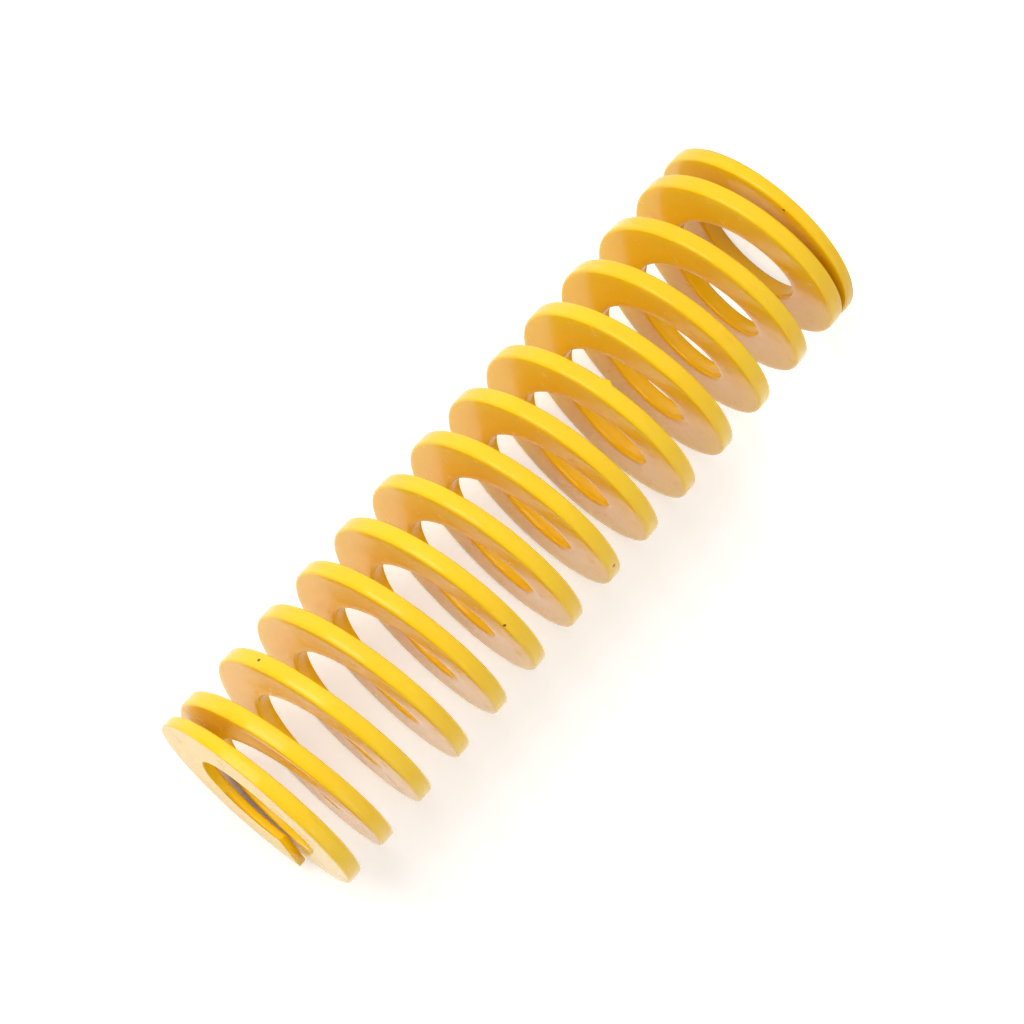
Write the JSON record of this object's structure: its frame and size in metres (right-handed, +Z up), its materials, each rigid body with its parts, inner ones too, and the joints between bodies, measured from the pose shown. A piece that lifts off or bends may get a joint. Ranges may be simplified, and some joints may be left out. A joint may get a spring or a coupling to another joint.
{
  "type": "die spring",
  "caption": "Yellow coil spring wound from flat rectangular bar, with closed and ground flat ends and a through bore for a guide rod.",
  "frame": {"origin": "middle of the ground foot plane, on the coil's axis", "axes": "+Z up the coil's axis, from the foot to the head; the cut tip of the foot turn lies at 196 degrees from +X about +Z"},
  "size_m": [0.0296, 0.0296, 0.1],
  "materials": {
    "yellow_paint": "glossy"
  },
  "bodies": {
    "root": {"coil_spring": "yellow_paint"}
  },
  "joints": []
}
